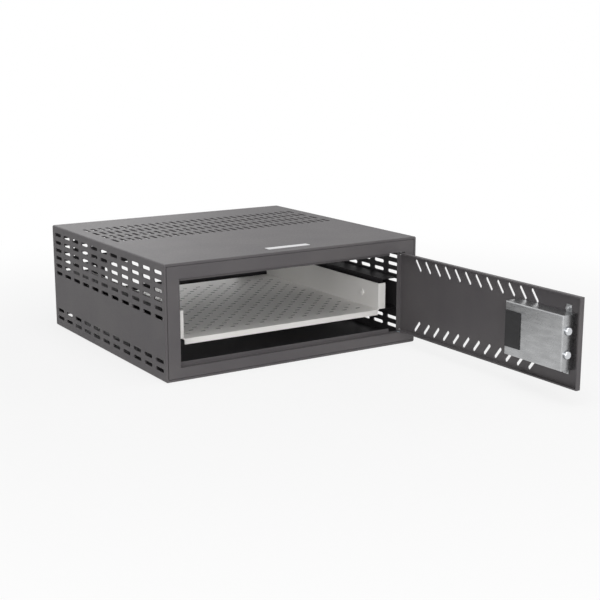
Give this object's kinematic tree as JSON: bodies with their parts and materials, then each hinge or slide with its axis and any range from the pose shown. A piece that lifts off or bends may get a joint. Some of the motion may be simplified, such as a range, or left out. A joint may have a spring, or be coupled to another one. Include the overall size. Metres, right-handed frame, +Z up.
{
  "type": "dvr lock box",
  "caption": "Slotted steel lock box for a video recorder, with a hinged door, a keypad lock under a flip cover and a perforated tray on ball slides.",
  "frame": {"origin": "middle of the cabinet's base, on the face it stands on", "axes": "+X to the right seen from the front, +Y from the front to the back, +Z up; at rest the door stands open towards -Y"},
  "size_m": [0.465, 0.8465, 0.1806],
  "materials": {
    "cabinet_coat": "fine powder coat",
    "tray_coat": "pale powder coat",
    "zinc_plate": "bright zinc plate",
    "bright_steel": "polished",
    "brass": "turned",
    "black_plastic": "moulded",
    "white_plastic": "moulded satin",
    "nylon": "natural nylon",
    "key_rubber": "silicone",
    "lens": "clear tinted",
    "board": "solder mask",
    "battery_label": "plain sleeve",
    "motor_can": "drawn can",
    "label_plate": "satin"
  },
  "bodies": {
    "cabinet": {"side_panel_left": "cabinet_coat", "side_panel_right": "cabinet_coat", "top_panel": "cabinet_coat", "base_panel": "cabinet_coat", "back_panel": "cabinet_coat", "front_frame": "cabinet_coat", "slide_bracket_left": "cabinet_coat", "slide_bracket_right": "cabinet_coat", "slide_outer_left": "zinc_plate", "slide_outer_right": "zinc_plate", "slide_rivets": "zinc_plate", "name_plate": "label_plate", "hinge_pin_upper": "zinc_plate", "hinge_pin_lower": "zinc_plate", "hinge_washer": "nylon"},
    "tray": {"tray_floor": "tray_coat", "tray_side_left": "tray_coat", "tray_side_right": "tray_coat", "slide_inner_left": "zinc_plate", "slide_inner_right": "zinc_plate", "tray_screws": "zinc_plate"},
    "middle_left": {"slide_middle_left": "zinc_plate", "slide_bumper_left": "black_plastic"},
    "middle_right": {"slide_middle_right": "zinc_plate", "slide_bumper_right": "black_plastic"},
    "outer_cage_left": {"ball_cage_outer_left": "zinc_plate"},
    "outer_cage_right": {"ball_cage_outer_right": "zinc_plate"},
    "inner_cage_left": {"ball_cage_inner_left": "zinc_plate"},
    "inner_cage_right": {"ball_cage_inner_right": "zinc_plate"},
    "door": {"door_pan": "cabinet_coat", "lock_housing": "white_plastic", "keypad_plate": "black_plastic", "circuit_board": "board", "status_lenses": "lens", "key_cylinder": "bright_steel", "lock_case": "zinc_plate", "battery_holder": "black_plastic", "battery": "battery_label", "battery_cover": "black_plastic", "door_fixings": "zinc_plate", "lock_motor": "motor_can"},
    "cover": {"lock_cover": "white_plastic"},
    "override": {"key_plug": "brass", "override_cam": "zinc_plate"},
    "bolt_work": {"bolt_carriage": "zinc_plate", "locking_bolts": "bright_steel"},
    "pinion": {"drive_pinion": "bright_steel"},
    "key_1": {"key_1": "key_rubber"},
    "key_2": {"key_2": "key_rubber"},
    "key_3": {"key_3": "key_rubber"},
    "key_4": {"key_4": "key_rubber"},
    "key_5": {"key_5": "key_rubber"},
    "key_star": {"key_star": "key_rubber"},
    "key_6": {"key_6": "key_rubber"},
    "key_7": {"key_7": "key_rubber"},
    "key_8": {"key_8": "key_rubber"},
    "key_9": {"key_9": "key_rubber"},
    "key_0": {"key_0": "key_rubber"},
    "key_hash": {"key_hash": "key_rubber"}
  },
  "joints": [
    {"name": "door_hinge", "type": "hinge", "parent": "cabinet", "child": "door", "pos_m": [0.2045, -0.2155, 0.09], "axis": [0, 0, 1], "range_deg": [-90, 8]},
    {"name": "tray_slide", "type": "slide", "parent": "cabinet", "child": "tray", "axis": [0, -1, 0], "range_m": [0, 0.311]},
    {"name": "middle_left_slide", "type": "slide", "parent": "cabinet", "child": "middle_left", "axis": [0, -1, 0], "range_m": [0, 0.1555]},
    {"name": "outer_cage_left_slide", "type": "slide", "parent": "cabinet", "child": "outer_cage_left", "axis": [0, -1, 0], "range_m": [0, 0.07775]},
    {"name": "inner_cage_left_slide", "type": "slide", "parent": "cabinet", "child": "inner_cage_left", "axis": [0, -1, 0], "range_m": [0, 0.23325]},
    {"name": "middle_right_slide", "type": "slide", "parent": "cabinet", "child": "middle_right", "axis": [0, -1, 0], "range_m": [0, 0.1555]},
    {"name": "outer_cage_right_slide", "type": "slide", "parent": "cabinet", "child": "outer_cage_right", "axis": [0, -1, 0], "range_m": [0, 0.07775]},
    {"name": "inner_cage_right_slide", "type": "slide", "parent": "cabinet", "child": "inner_cage_right", "axis": [0, -1, 0], "range_m": [0, 0.23325]},
    {"name": "cover_flip", "type": "hinge", "parent": "door", "child": "cover", "pos_m": [0.22, -0.5345, 0.11505], "axis": [0, -1, 0], "range_deg": [0, 95]},
    {"name": "override_turn", "type": "hinge", "parent": "door", "child": "override", "pos_m": [0.209, -0.5715, 0.09], "axis": [-1, 0, 0], "range_deg": [-75, 0]},
    {"name": "bolt_slide", "type": "slide", "parent": "door", "child": "bolt_work", "axis": [0, -1, 0], "range_m": [0, 0.0141]},
    {"name": "pinion_spin", "type": "hinge", "parent": "door", "child": "pinion", "pos_m": [0.19275, -0.556, 0.109], "axis": [0, 0, -1], "range_deg": [0, 135]},
    {"name": "key_1_press", "type": "slide", "parent": "door", "child": "key_1", "axis": [-1, 0, 0], "range_m": [0, 0.0012], "stiffness_N_per_m": 250},
    {"name": "key_2_press", "type": "slide", "parent": "door", "child": "key_2", "axis": [-1, 0, 0], "range_m": [0, 0.0012], "stiffness_N_per_m": 250},
    {"name": "key_3_press", "type": "slide", "parent": "door", "child": "key_3", "axis": [-1, 0, 0], "range_m": [0, 0.0012], "stiffness_N_per_m": 250},
    {"name": "key_4_press", "type": "slide", "parent": "door", "child": "key_4", "axis": [-1, 0, 0], "range_m": [0, 0.0012], "stiffness_N_per_m": 250},
    {"name": "key_5_press", "type": "slide", "parent": "door", "child": "key_5", "axis": [-1, 0, 0], "range_m": [0, 0.0012], "stiffness_N_per_m": 250},
    {"name": "key_star_press", "type": "slide", "parent": "door", "child": "key_star", "axis": [-1, 0, 0], "range_m": [0, 0.0012], "stiffness_N_per_m": 250},
    {"name": "key_6_press", "type": "slide", "parent": "door", "child": "key_6", "axis": [-1, 0, 0], "range_m": [0, 0.0012], "stiffness_N_per_m": 250},
    {"name": "key_7_press", "type": "slide", "parent": "door", "child": "key_7", "axis": [-1, 0, 0], "range_m": [0, 0.0012], "stiffness_N_per_m": 250},
    {"name": "key_8_press", "type": "slide", "parent": "door", "child": "key_8", "axis": [-1, 0, 0], "range_m": [0, 0.0012], "stiffness_N_per_m": 250},
    {"name": "key_9_press", "type": "slide", "parent": "door", "child": "key_9", "axis": [-1, 0, 0], "range_m": [0, 0.0012], "stiffness_N_per_m": 250},
    {"name": "key_0_press", "type": "slide", "parent": "door", "child": "key_0", "axis": [-1, 0, 0], "range_m": [0, 0.0012], "stiffness_N_per_m": 250},
    {"name": "key_hash_press", "type": "slide", "parent": "door", "child": "key_hash", "axis": [-1, 0, 0], "range_m": [0, 0.0012], "stiffness_N_per_m": 250}
  ],
  "couplings": [
    {"joint": "middle_left_slide", "follows": "tray_slide", "ratio": 0.5},
    {"joint": "outer_cage_left_slide", "follows": "tray_slide", "ratio": 0.25},
    {"joint": "inner_cage_left_slide", "follows": "tray_slide", "ratio": 0.75},
    {"joint": "middle_right_slide", "follows": "tray_slide", "ratio": 0.5},
    {"joint": "outer_cage_right_slide", "follows": "tray_slide", "ratio": 0.25},
    {"joint": "inner_cage_right_slide", "follows": "tray_slide", "ratio": 0.75},
    {"joint": "pinion_spin", "follows": "bolt_slide", "rad_per_m": 166.67}
  ]
}
